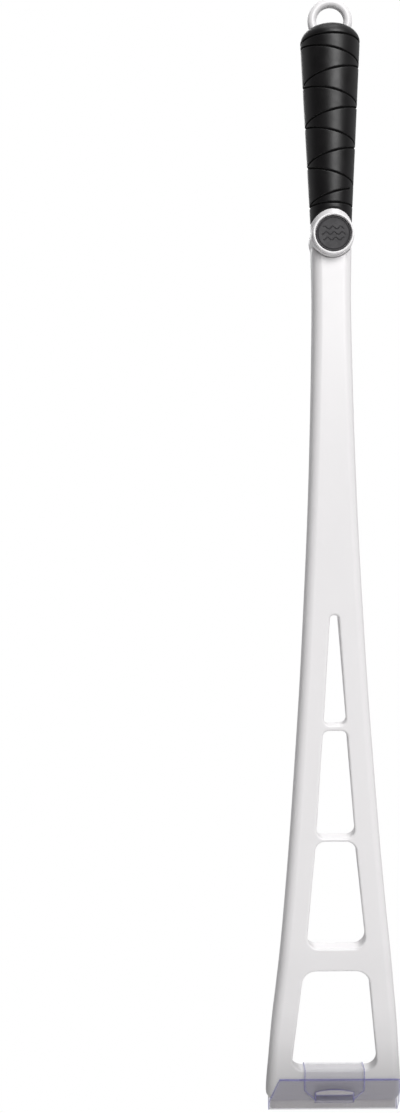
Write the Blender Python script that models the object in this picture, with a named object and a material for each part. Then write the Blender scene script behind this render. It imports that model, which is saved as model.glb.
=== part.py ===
"""An algae scraper for aquarium glass: a white moulded shaft, a rubber grip, a hang loop and a steel blade.

Everything is modelled in millimetres, and to_metres scales it at the end. Heights run up from the fold of the
blade guard, which is the tool's lowest point. The tool's front faces -Y. The origin is the centre of the hang
eye, from which the tool hangs.
"""

import math

import bmesh
import bpy
from mathutils import Matrix, Vector

MM = 0.001
GAP = 0.3  # between two pieces that rest against each other
BEYOND = 40.0  # a cutter's size where it only has to reach past the piece
ROUND = 40  # sides of a turned piece
FLAT = math.radians(35)  # edges sharper than this stay sharp

# Hang loop and grip
OVERALL = 558.8
LOOP_RADIUS = 8.9
LOOP_WIRE = 2.18
EYE_HEIGHT = OVERALL - LOOP_RADIUS - LOOP_WIRE
GRIP_FOOT, GRIP_SHOULDER, GRIP_TOP = 440.0, 536.5, 545.0
GRIP_FOOT_RADIUS, GRIP_SHOULDER_RADIUS = 9.9, 14.7
GROOVE_HEIGHTS = (455.8, 536.4)
GROOVE_WIDTH, GROOVE_DEPTH = 1.2, 0.8
TANG_FOOT_RADIUS, TANG_TOP_RADIUS = 6.5, 8.5
TANG_FOOT, TANG_TOP = 449.0, 540.0

# Knuckle, where the handle and the shaft lap and are screwed together
KNUCKLE = 439.5
BARREL_RADIUS, BARREL_HALF, BARREL_CHAMFER = 10.5, 8.5, 0.8
SHAFT_CLEARANCE = 10.8
GRIP_SCOOP = 12.7
NECK_RADIUS, COLLAR_RADIUS = 12.4, 10.2
CAP_RADIUS, CAP_INNER, CAP_PROUD, CAP_FLOOR = 10.0, 8.85, 3.3, 0.8
INLAY_RADIUS, INLAY_THICKNESS = 8.55, 1.1
PLUG_RADIUS, PLUG_PROUD = 8.6, 1.3
SPIGOT_OUTER, SPIGOT_INNER, SPIGOT_LENGTH = 6.7, 5.6, 1.8
COUNTERBORE_RADIUS, FRONT_COUNTERBORE, REAR_COUNTERBORE = 7.0, -4.5, 6.5
SCREW_FRONT, SCREW_SEAT, SCREW_BACK = -7.4, -4.8, 6.1
SCREW_HEAD_RADIUS, SCREW_RADIUS, SCREW_HOLE, SOCKET_RADIUS, SOCKET_FLOOR = 4.6, 2.4, 2.7, 1.7, -5.6
NUT_RADIUS, NUT_FRONT, NUT_BACK = 4.5, 2.5, 6.2
NUT_POCKET_RADIUS, NUT_POCKET_FLOOR = 4.9, 2.2

# Shaft and head: height and half width along the outline
OUTLINE = (
    (7.0, 32.9), (10.5, 34.1), (30.0, 32.8), (50.0, 31.2), (70.0, 29.0), (100.0, 25.9),
    (140.0, 22.35), (180.0, 19.35), (220.0, 16.6), (260.0, 14.35), (300.0, 12.35),
    (340.0, 10.85), (380.0, 9.8), (410.0, 9.35), (436.0, 9.8),
)
HEAD_TOP, SHAFT_DEEP = 262.0, 420.0
SHAFT_HALF_DEPTH, HEAD_HALF_DEPTH = 7.0, 5.0
TOE_FRONT, TOE_BACK, TOE_HEIGHT = 3.6, 4.4, 34.0
EDGE_RADIUS, HEEL_RADIUS = 4.6, 0.8
BEND_TOP, BEND_FOOT = 91.0, 78.0
LEAN_ANGLE = math.radians(10)
FOOT_CHAMFER, CHAMFER_HEIGHT = 1.3, 3.5
SKIN, WALL = 2.6, 2.2
HOLLOW_FOOT, HOLLOW_TOP = 32.0, 424.0
RIBS = (290.0, 325.0, 360.0, 395.0)
RIB = 2.0

# Windows, as foot height, top height, foot half width, top half width, foot radius and top radius
WINDOWS = (
    (199.1, 253.1, 5.5, 2.0, 3.0, 1.8),
    (143.5, 196.1, 9.5, 5.8, 3.8, 3.0),
    (89.0, 141.5, 14.6, 9.6, 5.5, 5.0),
    (23.8, 77.1, 21.6, 15.9, 5.6, 7.0),
)
WINDOW_FILLET, WINDOW_DRAFT = 1.2, 0.11

# Blade, clamp and guard, at the foot of the head
SEAT_FACE, SEAT_TOP, SEAT_HALF = 0.9, 20.2, 32.3
BLADE_HALF, BLADE_FOOT, BLADE_TOP, BLADE_GROUND = 31.9, 0.9, 19.6, 3.2
BLADE_FRONT, BLADE_BACK = 1.2, 1.7
CLAMP_HALF, CLAMP_FOOT, CLAMP_TOP = 31.6, 8.0, 19.6
CLAMP_FRONT, CLAMP_BACK = 2.0, 4.4
CLAMP_SCREWS = {"left": -22.0, "centre": 0.0, "right": 22.0}
CLAMP_SCREW_HEIGHT = 13.8
PILOT_RADIUS, PILOT_END = 1.5, -1.9
BLADE_HOLE, CLAMP_HOLE, COUNTERSINK = 1.7, 1.6, 3.6
SHEET = 0.4
GUARD_HALF, GUARD_FRONT_TOP, GUARD_BACK_TOP = 32.9, 19.3, 21.0
GUARD_FRONT, GUARD_BACK = -4.1, 4.9
GUARD_CORNER = 7.4
GUARD_SLANT_TOP = 5.3
LIP_HALF, LIP_TOP, LIP_FOOT = 9.8, 14.0, 6.2
FOLD_RADIUS = 0.8
TONGUE_HALF, TONGUE_END_HALF, TONGUE_END, TONGUE_CHAMFER = 15.1, 9.6, 8.2, 13.5
TONGUE_FRONT, TONGUE_OVER, TONGUE_TURN = -4.8, 24.6, 0.9
HINGE_HEIGHT = 21.15


# Form of the shaft


def smooth(start, end, value):
    """Goes gently from 0 at start to 1 at end."""
    t = min(max((value - start) / (end - start), 0.0), 1.0)
    return t * t * (3 - 2 * t)


def lean(height):
    """How far behind the shaft's own plane the head has bent at this height."""
    if height >= BEND_TOP:
        return 0.0
    slope = math.tan(LEAN_ANGLE)
    if height >= BEND_FOOT:
        return slope * (BEND_TOP - height) ** 2 / (2 * (BEND_TOP - BEND_FOOT))
    return slope * ((BEND_TOP + BEND_FOOT) / 2 - height)


def half_width(height):
    """The outline's half width, by a smooth curve through its points."""
    last = len(OUTLINE) - 1
    i = next((k for k in range(last) if height <= OUTLINE[k + 1][0]), last - 1)
    (z0, w0), (z1, w1) = OUTLINE[i], OUTLINE[i + 1]

    def slope(k):
        low, high = OUTLINE[max(k - 1, 0)], OUTLINE[min(k + 1, last)]
        return (high[1] - low[1]) / (high[0] - low[0])

    span = z1 - z0
    t = min(max((height - z0) / span, 0.0), 1.0)
    start, end = slope(i) * span, slope(i + 1) * span
    return (
        (2 * t**3 - 3 * t**2 + 1) * w0 + (t**3 - 2 * t**2 + t) * start
        + (3 * t**2 - 2 * t**3) * w1 + (t**3 - t**2) * end
    )


def front_depth(height):
    """How far the front face stands in front of the middle plane."""
    deep = HEAD_HALF_DEPTH + (SHAFT_HALF_DEPTH - HEAD_HALF_DEPTH) * smooth(HEAD_TOP, SHAFT_DEEP, height)
    toe = (HEAD_HALF_DEPTH - TOE_FRONT) * (1 - smooth(TOE_HEIGHT, BEND_TOP, height))
    chamfer = FOOT_CHAMFER * max(0.0, 1 - (height - OUTLINE[0][0]) / CHAMFER_HEIGHT)
    return deep - toe - chamfer


def back_depth(height):
    """How far the back rim stands behind the middle plane."""
    deep = HEAD_HALF_DEPTH + (SHAFT_HALF_DEPTH - HEAD_HALF_DEPTH) * smooth(HEAD_TOP, SHAFT_DEEP, height)
    return deep - (HEAD_HALF_DEPTH - TOE_BACK) * (1 - smooth(TOE_HEIGHT, BEND_TOP, height))


def shaft_heights(low, high, step=9.0):
    """Rows for a shape that follows the shaft, closer together round the bend and at the foot."""
    marks = {low, high, *(z for z, _ in OUTLINE if low < z < high)}
    bend = [BEND_FOOT + (BEND_TOP - BEND_FOOT) * k / 5 for k in range(6)]
    marks.update(z for z in bend if low < z < high)
    rows = sorted(marks)
    full = [rows[0]]
    for row in rows[1:]:
        parts = math.ceil((row - full[-1]) / step)
        start = full[-1]
        full += [start + (row - start) * k / parts for k in range(1, parts + 1)]
    return full


def corner(centre_x, centre_y, radius, start, end, steps):
    """Points along an arc, angles in degrees."""
    angles = [math.radians(start + (end - start) * k / steps) for k in range(steps + 1)]
    return [(centre_x + radius * math.cos(a), centre_y + radius * math.sin(a)) for a in angles]


def section(height, inset, front, back, radius):
    """One cross section of the shaft, from its right back corner forwards and round to the left."""
    half = half_width(height) - inset
    radius = min(radius, half * 0.6, (front + back) * 0.7)
    heel = HEEL_RADIUS
    points = corner(half - heel, back - heel, heel, 90, 0, 2)
    points += corner(half - radius, radius - front, radius, 0, -90, 6)
    points += corner(radius - half, radius - front, radius, -90, -180, 6)
    points += corner(heel - half, back - heel, heel, 180, 90, 2)
    return [Vector((x, y + lean(height), height)) for x, y in points]


# Meshes


def skin(rings):
    """A closed body stretched over rings of points, each with the same number of points."""
    bm = bmesh.new()
    rows = [[bm.verts.new(point) for point in ring] for ring in rings]
    count = len(rows[0])
    for low, high in zip(rows, rows[1:]):
        for k in range(count):
            bm.faces.new((low[k], low[(k + 1) % count], high[(k + 1) % count], high[k]))
    bm.faces.new(rows[0])
    bm.faces.new(rows[-1])
    return bm


def turned(profile, axis="Y", sides=ROUND, first_angle=0.0):
    """A turned piece. The profile is (radius, distance along the axis), on the axis or closed."""
    bm = bmesh.new()
    along = Vector((0, 1, 0)) if axis == "Y" else Vector((0, 0, 1))
    out = Vector((math.cos(first_angle), 0, math.sin(first_angle))) if axis == "Y" else Vector((1, 0, 0))
    verts = [bm.verts.new(out * radius + along * place) for radius, place in profile]
    pairs = zip(range(len(profile)), [*range(1, len(profile)), 0])
    edges = [bm.edges.new((verts[a], verts[b])) for a, b in pairs if profile[a][0] or profile[b][0]]
    bmesh.ops.spin(
        bm, geom=verts + edges, cent=(0, 0, 0), axis=along, angle=2 * math.pi, steps=sides, use_merge=True
    )
    bmesh.ops.remove_doubles(bm, verts=bm.verts, dist=1e-4)
    bmesh.ops.dissolve_degenerate(bm, edges=bm.edges, dist=1e-5)
    return bm


def rod(radius, start, end, sides=ROUND, first_angle=0.0):
    return turned([(0, start), (radius, start), (radius, end), (0, end)], "Y", sides, first_angle)


def extruded(outline, low, high, place):
    """An outline pushed from low to high; place turns (u, v, w) into a point, w running from low to high."""
    return skin([[place(u, v, w) for u, v in outline] for w in (low, high)])


def leaned_along_x(y, z, x):
    return Vector((x, y + lean(z), z))


def box(low, high):
    """An upright block between two corners, leaning with the head."""
    outline = ((low[1], low[2]), (high[1], low[2]), (high[1], high[2]), (low[1], high[2]))
    return extruded(outline, low[0], high[0], leaned_along_x)


def sheet(path, half_width_of, thickness=SHEET):
    """A bent sheet: the path is (y, z) along its middle, and half_width_of gives its half width there."""
    last = len(path) - 1
    rings = []
    for k, (y, z) in enumerate(path):
        before, after = Vector(path[max(k - 1, 0)]), Vector(path[min(k + 1, last)])
        ahead = (after - before).normalized()
        side = Vector((-ahead.y, ahead.x)) * thickness / 2
        left, right = half_width_of(y, z)
        corners = ((left, 1), (right, 1), (right, -1), (left, -1))
        rings.append([leaned_along_x(y + side.x * s, z + side.y * s, x) for x, s in corners])
    return skin(rings)


# Objects


def clear_scene():
    for obj in list(bpy.data.objects):
        bpy.data.objects.remove(obj, do_unlink=True)


def material(name, colour, roughness, metallic=0.0, alpha=1.0):
    made = bpy.data.materials.new(name)
    made.use_nodes = True
    shader = made.node_tree.nodes["Principled BSDF"]
    shader.inputs["Base Color"].default_value = (*colour, 1.0)
    shader.inputs["Roughness"].default_value = roughness
    shader.inputs["Metallic"].default_value = metallic
    shader.inputs["Alpha"].default_value = alpha
    return made


def piece(name, bm, finish=None, at=(0, 0, 0), turn=0.0, parent=None):
    """Turns a bmesh into an object, shaded smooth with its sharp edges kept."""
    bmesh.ops.recalc_face_normals(bm, faces=bm.faces)
    mesh = bpy.data.meshes.new(name)
    bm.to_mesh(mesh)
    bm.free()
    mesh.shade_smooth()
    mesh.set_sharp_from_angle(angle=FLAT)
    obj = bpy.data.objects.new(name, mesh)
    obj.location = at
    obj.rotation_euler.x = turn
    obj.parent = parent
    bpy.context.scene.collection.objects.link(obj)
    if finish:
        mesh.materials.append(finish)
    return obj


def combine(target, *tools, operation="DIFFERENCE"):
    """Cuts each tool from the target, or joins it on, and removes the tool.

    Many of these shapes share an axis or a plane, where the EXACT solver leaves open edges.
    """
    for tool in tools:
        bpy.context.view_layer.update()
        modifier = target.modifiers.new("Combine", "BOOLEAN")
        modifier.operation = operation
        modifier.solver = "MANIFOLD"
        modifier.object = tool
        graph = bpy.context.evaluated_depsgraph_get()
        result = bpy.data.meshes.new_from_object(target.evaluated_get(graph))
        target.modifiers.remove(modifier)
        used, target.data = target.data, result
        bpy.data.meshes.remove(used)
        bpy.data.objects.remove(tool)
    target.data.shade_smooth()
    target.data.set_sharp_from_angle(angle=FLAT)
    return target


def tool(bm, at=(0, 0, 0), turn=0.0, parent=None):
    """A helper shape for combine."""
    return piece("tool", bm, at=at, turn=turn, parent=parent)


# Handle


def grip_radius(height):
    """The grip's taper, with its domed end."""
    if height > GRIP_SHOULDER:
        rise = (height - GRIP_SHOULDER) / (GRIP_TOP - GRIP_SHOULDER)
        return GRIP_SHOULDER_RADIUS * math.sqrt(max(0.0, 1 - rise * rise))
    share = (height - GRIP_FOOT) / (GRIP_SHOULDER - GRIP_FOOT)
    return GRIP_FOOT_RADIUS + (GRIP_SHOULDER_RADIUS - GRIP_FOOT_RADIUS) * share


def tang_radius(height):
    share = (height - TANG_FOOT) / (TANG_TOP - TANG_FOOT)
    return TANG_FOOT_RADIUS + (TANG_TOP_RADIUS - TANG_FOOT_RADIUS) * share


def loop_ring(wire):
    circle = [(LOOP_RADIUS + x, y) for x, y in corner(0, 0, wire, 0, 360 * 11 / 12, 11)]
    return turned(circle, "Y", 36)


def grip_sleeve(finish, parent):
    """The rubber grip: a tapered turned sleeve with two ring grooves, over the tang and round the loop."""
    outer = [(grip_radius(GRIP_FOOT), GRIP_FOOT)]
    for middle in GROOVE_HEIGHTS:
        for side, depth in ((-1, 0), (-0.5, GROOVE_DEPTH), (0.5, GROOVE_DEPTH), (1, 0)):
            height = middle + side * GROOVE_WIDTH / 2
            outer.append((grip_radius(height) - depth, height))
    turns = 7
    for k in range(1, turns + 1):
        angle = math.pi / 2 * k / turns
        radius = 0 if k == turns else GRIP_SHOULDER_RADIUS * math.cos(angle)
        outer.append((radius, GRIP_SHOULDER + (GRIP_TOP - GRIP_SHOULDER) * math.sin(angle)))
    sleeve = piece("grip_sleeve", turned([(0, GRIP_FOOT), *outer], "Z"), finish, parent=parent)
    bore_foot, bore_top = GRIP_FOOT - 5, TANG_TOP + GAP
    bore = [(0, bore_foot), (tang_radius(bore_foot) + GAP, bore_foot),
            (tang_radius(bore_top) + GAP, bore_top),
            (0, bore_top)]
    return combine(
        sleeve,
        tool(turned(bore, "Z"), parent=parent),
        tool(loop_ring(LOOP_WIRE + GAP), at=(0, 0, EYE_HEIGHT), parent=parent),
        tool(rod(GRIP_SCOOP, -BEYOND, BEYOND, sides=64), at=(0, 0, KNUCKLE), parent=parent),
    )


def handle_core(finish, parent):
    """The white core: the hang loop, the tang in the grip, and the front lug of the knuckle."""
    tang = [(0, TANG_FOOT), (TANG_FOOT_RADIUS, TANG_FOOT), (TANG_TOP_RADIUS, TANG_TOP), (0, TANG_TOP)]
    core = piece("handle_core", turned(tang, "Z", 32), finish, parent=parent)
    collar = tool(turned([(0, KNUCKLE), (COLLAR_RADIUS, KNUCKLE), (COLLAR_RADIUS, KNUCKLE + BEYOND),
                          (0, KNUCKLE + BEYOND)], "Z"), parent=parent)
    across = tool(rod(NECK_RADIUS, -BEYOND, BEYOND, sides=64), at=(0, 0, KNUCKLE), parent=parent)
    combine(collar, across, operation="INTERSECT")
    combine(
        core,
        collar,
        tool(barrel(-BARREL_HALF, BARREL_HALF), at=(0, 0, KNUCKLE), parent=parent),
        tool(loop_ring(LOOP_WIRE), at=(0, 0, EYE_HEIGHT), parent=parent),
        operation="UNION",
    )
    return combine(
        core,
        tool(rod(SHAFT_CLEARANCE, -GAP / 2, BEYOND, sides=64), at=(0, 0, KNUCKLE), parent=parent),
        tool(rod(BARREL_RADIUS, -BEYOND, -BARREL_HALF, sides=64), at=(0, 0, KNUCKLE), parent=parent),
        tool(rod(COUNTERBORE_RADIUS, -BEYOND, FRONT_COUNTERBORE), at=(0, 0, KNUCKLE), parent=parent),
        tool(rod(SCREW_HOLE, -BEYOND, BEYOND), at=(0, 0, KNUCKLE), parent=parent),
    )


def barrel(front, back):
    """The round body of the knuckle, with its edges broken."""
    face = BARREL_RADIUS - BARREL_CHAMFER
    profile = [(0, front), (face, front), (BARREL_RADIUS, front + BARREL_CHAMFER),
               (BARREL_RADIUS, back - BARREL_CHAMFER), (face, back), (0, back)]
    return turned(profile, "Y", 56)


# Shaft


def offset(corners, distance):
    """Moves each side of a convex outline outwards."""
    count = len(corners)
    points = [Vector(c) for c in corners]
    moved = []
    for k in range(count):
        before, here, after = points[k - 1], points[k], points[(k + 1) % count]
        u, v = (here - before).normalized(), (after - here).normalized()
        out_u, out_v = Vector((u.y, -u.x)), Vector((v.y, -v.x))
        moved.append(here + (out_u + out_v) * distance / (1 + out_u.dot(out_v)))
    return moved


def window_outline(window, grow):
    """The rounded four-sided outline of a window, in x and height, grown on every side."""
    foot, top, foot_half, top_half, foot_radius, top_radius = window
    corners = offset(((-foot_half, foot), (foot_half, foot), (top_half, top), (-top_half, top)), grow)
    radii = (foot_radius, foot_radius, top_radius, top_radius)
    points, steps = [], 5
    for k, (here, radius) in enumerate(zip(corners, radii)):
        radius += grow
        back, ahead = (corners[k - 1] - here).normalized(), (corners[(k + 1) % 4] - here).normalized()
        half = back.angle(ahead) / 2
        centre = here + (back + ahead).normalized() * radius / math.sin(half)
        reach = radius / math.tan(half)
        start, end = here + back * reach - centre, here + ahead * reach - centre
        sweep = start.angle_signed(end)
        for step in range(steps + 1):
            angle = math.atan2(start.y, start.x) - sweep * step / steps
            points.append(centre + Vector((math.cos(angle), math.sin(angle))) * radius)
    return points


def window_cutter(window):
    """Cuts one window through the shaft. Its edge is rounded at the front, and its sides draw apart behind."""
    rows = [(-12.0, WINDOW_FILLET)]
    for angle in (0, 30, 60, 90):
        a = math.radians(angle)
        rows.append((WINDOW_FILLET * (1 - math.cos(a)), WINDOW_FILLET * (1 - math.sin(a))))
    rows.append((30.0, 0.0))
    rings = []
    for deep, grow in rows:
        widen = 1 + WINDOW_DRAFT * max(deep, 0.0) / window[2]
        outline = window_outline(window, grow)
        rings.append([Vector((x * widen, deep - front_depth(z) + lean(z), z)) for x, z in outline])
    return skin(rings)


def window_rim(window):
    """The wall left standing behind the face round a window."""
    outline = window_outline(window, WALL)
    return skin([[Vector((x, y, z)) for x, z in outline] for y in (-20.0, 40.0)])


def hollow(low, high):
    """The open back of the shaft between two heights, less the window rims and the ribs."""
    rings = [section(z, WALL, front_depth(z) - SKIN, BEYOND, EDGE_RADIUS - WALL)
             for z in shaft_heights(low, high)]
    return skin(rings)


def shaft_frame(finish, parent):
    """The white shaft: an open-backed channel with the windowed head and the rear lug."""
    rows = shaft_heights(OUTLINE[0][0], OUTLINE[-1][0])
    rings = [section(z, 0.0, front_depth(z), back_depth(z), EDGE_RADIUS) for z in rows]
    frame = piece("shaft_frame", skin(rings), finish, parent=parent)
    lug = tool(barrel(-BARREL_HALF, BARREL_HALF), at=(0, 0, KNUCKLE), parent=parent)
    combine(frame, lug, operation="UNION")
    back = tool(hollow(HOLLOW_FOOT, HOLLOW_TOP), parent=parent)
    keep = [window_rim(window) for window in WINDOWS]
    keep += [box((-BEYOND, -BEYOND, rib - RIB / 2), (BEYOND, BEYOND, rib + RIB / 2)) for rib in RIBS]
    combine(back, *(tool(bm, parent=parent) for bm in keep))
    combine(
        frame,
        tool(rod(SHAFT_CLEARANCE, -BEYOND, GAP / 2, sides=64), at=(0, 0, KNUCKLE), parent=parent),
        back,
        *(tool(window_cutter(window), parent=parent) for window in WINDOWS),
        tool(box((-SEAT_HALF, SEAT_FACE, 0), (SEAT_HALF, BEYOND, SEAT_TOP)), parent=parent),
        tool(rod(NUT_POCKET_RADIUS, NUT_POCKET_FLOOR, BEYOND, sides=6), at=(0, 0, KNUCKLE), parent=parent),
        tool(rod(SCREW_HOLE, -BEYOND, BEYOND), at=(0, 0, KNUCKLE), parent=parent),
        tool(rod(COUNTERBORE_RADIUS, REAR_COUNTERBORE, BEYOND), at=(0, 0, KNUCKLE), parent=parent),
        *(head_tool(rod(PILOT_RADIUS, PILOT_END, BLADE_BACK, sides=20), x, parent)
          for x in CLAMP_SCREWS.values()),
    )
    return frame


# Knuckle pieces


def front_cap(finish, parent):
    """The white bezel: a shallow cup on the lug, with a spigot that snaps into the counterbore."""
    back = -BARREL_HALF - GAP
    front = back - CAP_PROUD
    floor = back - CAP_FLOOR
    tip = back + SPIGOT_LENGTH
    profile = [
        (0, floor), (CAP_INNER, floor), (CAP_INNER, front + 0.5), (CAP_INNER + 0.4, front),
        (CAP_RADIUS - 0.5, front),
        (CAP_RADIUS, front + 0.6), (CAP_RADIUS, back), (SPIGOT_OUTER, back), (SPIGOT_OUTER, tip),
        (SPIGOT_INNER, tip), (SPIGOT_INNER, back), (0, back),
    ]
    return piece("front_cap", turned(profile, "Y", 56), finish, at=(0, 0, KNUCKLE), parent=parent)


def front_inlay(finish, parent):
    """The charcoal rubber disc set into the bezel."""
    back = -BARREL_HALF - GAP - CAP_FLOOR - GAP
    front = back - INLAY_THICKNESS
    profile = [(0, front), (INLAY_RADIUS - 0.25, front), (INLAY_RADIUS, front + 0.25),
               (INLAY_RADIUS, back), (0, back)]
    return piece("front_inlay", turned(profile, "Y", 48), finish, at=(0, 0, KNUCKLE), parent=parent)


def knuckle_screw(finish, parent):
    """A pan-head screw with a hexagon socket."""
    profile = [(0, SCREW_FRONT), (SCREW_HEAD_RADIUS - 0.6, SCREW_FRONT),
               (SCREW_HEAD_RADIUS, SCREW_FRONT + 0.6),
               (SCREW_HEAD_RADIUS, SCREW_SEAT), (SCREW_RADIUS, SCREW_SEAT), (SCREW_RADIUS, SCREW_BACK - 0.5),
               (SCREW_RADIUS - 0.5, SCREW_BACK), (0, SCREW_BACK)]
    screw = piece("knuckle_screw", turned(profile, "Y", 28), finish, at=(0, 0, KNUCKLE), parent=parent)
    socket = tool(rod(SOCKET_RADIUS, -BEYOND, SOCKET_FLOOR, sides=6), at=(0, 0, KNUCKLE), parent=parent)
    return combine(screw, socket)


def knuckle_nut(finish, parent):
    """The hexagon nut held in the rear lug."""
    hexagon = rod(NUT_RADIUS, NUT_FRONT, NUT_BACK, sides=6)
    nut = piece("knuckle_nut", hexagon, finish, at=(0, 0, KNUCKLE), parent=parent)
    return combine(nut, tool(rod(SCREW_HOLE, -BEYOND, BEYOND, sides=28), at=(0, 0, KNUCKLE), parent=parent))


def rear_cap(finish, parent):
    """The plain plug that closes the back of the knuckle."""
    front = BARREL_HALF + GAP
    tip, back = front - SPIGOT_LENGTH, front + PLUG_PROUD
    profile = [
        (0, front), (SPIGOT_INNER, front), (SPIGOT_INNER, tip), (SPIGOT_OUTER, tip), (SPIGOT_OUTER, front),
        (PLUG_RADIUS, front), (PLUG_RADIUS, back - 0.6), (PLUG_RADIUS - 0.6, back), (0, back),
    ]
    return piece("rear_cap", turned(profile, "Y", 48), finish, at=(0, 0, KNUCKLE), parent=parent)


# Blade and guard


def head_place(x, height=CLAMP_SCREW_HEIGHT):
    return (x, lean(height), height)


def head_tool(bm, x, parent):
    """A tool along the blade's own normal, at a clamp screw."""
    return tool(bm, at=head_place(x), turn=LEAN_ANGLE, parent=parent)


def scraper_blade(finish, parent):
    """The steel blade, ground from behind to its edge, with a hole for each clamp screw."""
    outline = [(BLADE_FRONT, BLADE_FOOT), (BLADE_FRONT + 0.1, BLADE_FOOT), (BLADE_BACK, BLADE_GROUND),
               (BLADE_BACK, BLADE_TOP), (BLADE_FRONT, BLADE_TOP)]
    bm = extruded(outline, -BLADE_HALF, BLADE_HALF, leaned_along_x)
    blade = piece("scraper_blade", bm, finish, parent=parent)
    holes = [rod(BLADE_HOLE, -6, 9, sides=20) for _ in CLAMP_SCREWS]
    return combine(blade, *(head_tool(bm, x, parent) for bm, x in zip(holes, CLAMP_SCREWS.values())))


def blade_clamp(finish, parent):
    """The bar that holds the blade, with a countersunk hole for each screw."""
    bar = piece("blade_clamp",
                box((-CLAMP_HALF, CLAMP_FRONT, CLAMP_FOOT), (CLAMP_HALF, CLAMP_BACK, CLAMP_TOP)),
                finish, parent=parent)
    hole = [(0, 0.0), (CLAMP_HOLE, 0.0), (CLAMP_HOLE, 2.6), (COUNTERSINK, 4.6), (COUNTERSINK, 9), (0, 9)]
    return combine(bar, *(head_tool(turned(hole, "Y", 24), x, parent) for x in CLAMP_SCREWS.values()))


def clamp_screw(name, x, finish, parent):
    """A countersunk self-tapping screw with a cross recess."""
    profile = [(0, -1.5), (0.5, -1.5), (1.2, -0.3), (1.2, 2.6), (2.75, 4.15), (0, 4.15)]
    screw = piece(name, turned(profile, "Y", 24), finish, at=head_place(x), turn=LEAN_ANGLE, parent=parent)
    for long, short in ((1.4, 0.3), (0.3, 1.4)):
        bm = extruded(((-long, -short), (long, -short), (long, short), (-long, short)), 3.2, 6.0,
                      lambda u, v, w: Vector((u, w, v)))
        combine(screw, head_tool(bm, x, parent))
    return screw


def guard_path():
    """The guard's folded middle line, from the top of its front panel under the blade and up the back."""
    middle = (BLADE_FRONT + BLADE_BACK) / 2
    fold = [(middle + y, z + FOLD_RADIUS + SHEET / 2) for y, z in corner(0, 0, FOLD_RADIUS, -145, -35, 6)]
    front = [(GUARD_FRONT, GUARD_FRONT_TOP), (GUARD_FRONT, 14.0), (GUARD_FRONT, GUARD_CORNER + 0.6),
             (GUARD_FRONT + 0.3, GUARD_CORNER - 0.4)]
    back = [(GUARD_BACK - 0.3, GUARD_CORNER - 0.4), (GUARD_BACK, GUARD_CORNER + 0.6), (GUARD_BACK, 14.0),
            (GUARD_BACK, GUARD_BACK_TOP)]
    return front + fold + back


def guard_half_widths(y, z):
    """The guard's edges: square at the back and on the right, cut at a slant on the front panel's left."""
    rise = max(0.0, z - GUARD_CORNER) / (GUARD_FRONT_TOP - GUARD_CORNER)
    slant = GUARD_SLANT_TOP * min(rise, 1.0) if y < 0 else 0.0
    return -GUARD_HALF + slant, GUARD_HALF


def guard_sleeve(finish, parent):
    """The clear sheet folded over the blade, with the pocket that holds the tongue's end."""
    sleeve = piece("guard_sleeve", sheet(guard_path(), guard_half_widths), finish, parent=parent)
    front = TONGUE_FRONT - SHEET - GAP
    path = [(GUARD_FRONT + 1.6, LIP_FOOT - 0.6), (front, LIP_FOOT + 1.6), (front, LIP_TOP)]
    lip = tool(sheet(path, lambda y, z: (-LIP_HALF, LIP_HALF)), parent=parent)
    return combine(sleeve, lip, operation="UNION")


def tongue_path():
    """From the hinge up the back, over the bar through the lowest window, and down the front."""
    over = TONGUE_OVER - TONGUE_TURN
    back = corner(GUARD_BACK - TONGUE_TURN, over, TONGUE_TURN, 0, 90, 4)
    front = corner(TONGUE_FRONT + TONGUE_TURN, over, TONGUE_TURN, 90, 180, 4)
    end = [(TONGUE_FRONT, TONGUE_CHAMFER), (TONGUE_FRONT, TONGUE_END)]
    return [(GUARD_BACK, HINGE_HEIGHT + GAP), *back, *front, *end]


def tongue_half_widths(y, z):
    cut = max(0.0, (TONGUE_CHAMFER - z) / (TONGUE_CHAMFER - TONGUE_END)) if y < 0 else 0.0
    half = TONGUE_HALF + (TONGUE_END_HALF - TONGUE_HALF) * cut
    return -half, half


def guard_tongue(finish, parent):
    """The tongue that ties the guard on. Its object's origin is on the crease that it hinges about."""
    hinge = Vector((0, GUARD_BACK + lean(HINGE_HEIGHT), HINGE_HEIGHT))
    bm = sheet(tongue_path(), tongue_half_widths)
    bmesh.ops.translate(bm, vec=-hinge, verts=bm.verts)
    return piece("guard_tongue", bm, finish, at=hinge, parent=parent)


def to_metres():
    """Scales every mesh and every location from millimetres."""
    for obj in bpy.data.objects:
        obj.location *= MM
        if obj.type == "MESH":
            obj.data.transform(Matrix.Scale(MM, 4))
            obj.data.update()


def main():
    clear_scene()
    tool_root = bpy.data.objects.new("tool_origin", None)
    tool_root.location.z = -EYE_HEIGHT
    bpy.context.scene.collection.objects.link(tool_root)

    white = material("white_plastic", (0.82, 0.82, 0.84), 0.32)
    rubber = material("black_rubber", (0.018, 0.017, 0.018), 0.55)
    charcoal = material("charcoal_rubber", (0.06, 0.058, 0.062), 0.7)
    steel = material("stainless_steel", (0.55, 0.54, 0.53), 0.3, metallic=1.0)
    clear = material("clear_sheet", (0.62, 0.63, 0.72), 0.12, alpha=0.4)

    handle_core(white, tool_root)
    grip_sleeve(rubber, tool_root)
    shaft_frame(white, tool_root)
    front_cap(white, tool_root)
    front_inlay(charcoal, tool_root)
    knuckle_screw(steel, tool_root)
    knuckle_nut(steel, tool_root)
    rear_cap(white, tool_root)
    scraper_blade(steel, tool_root)
    blade_clamp(white, tool_root)
    for side, x in CLAMP_SCREWS.items():
        clamp_screw(f"clamp_screw_{side}", x, steel, tool_root)
    guard_sleeve(clear, tool_root)
    guard_tongue(clear, tool_root)
    to_metres()


main()
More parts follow.
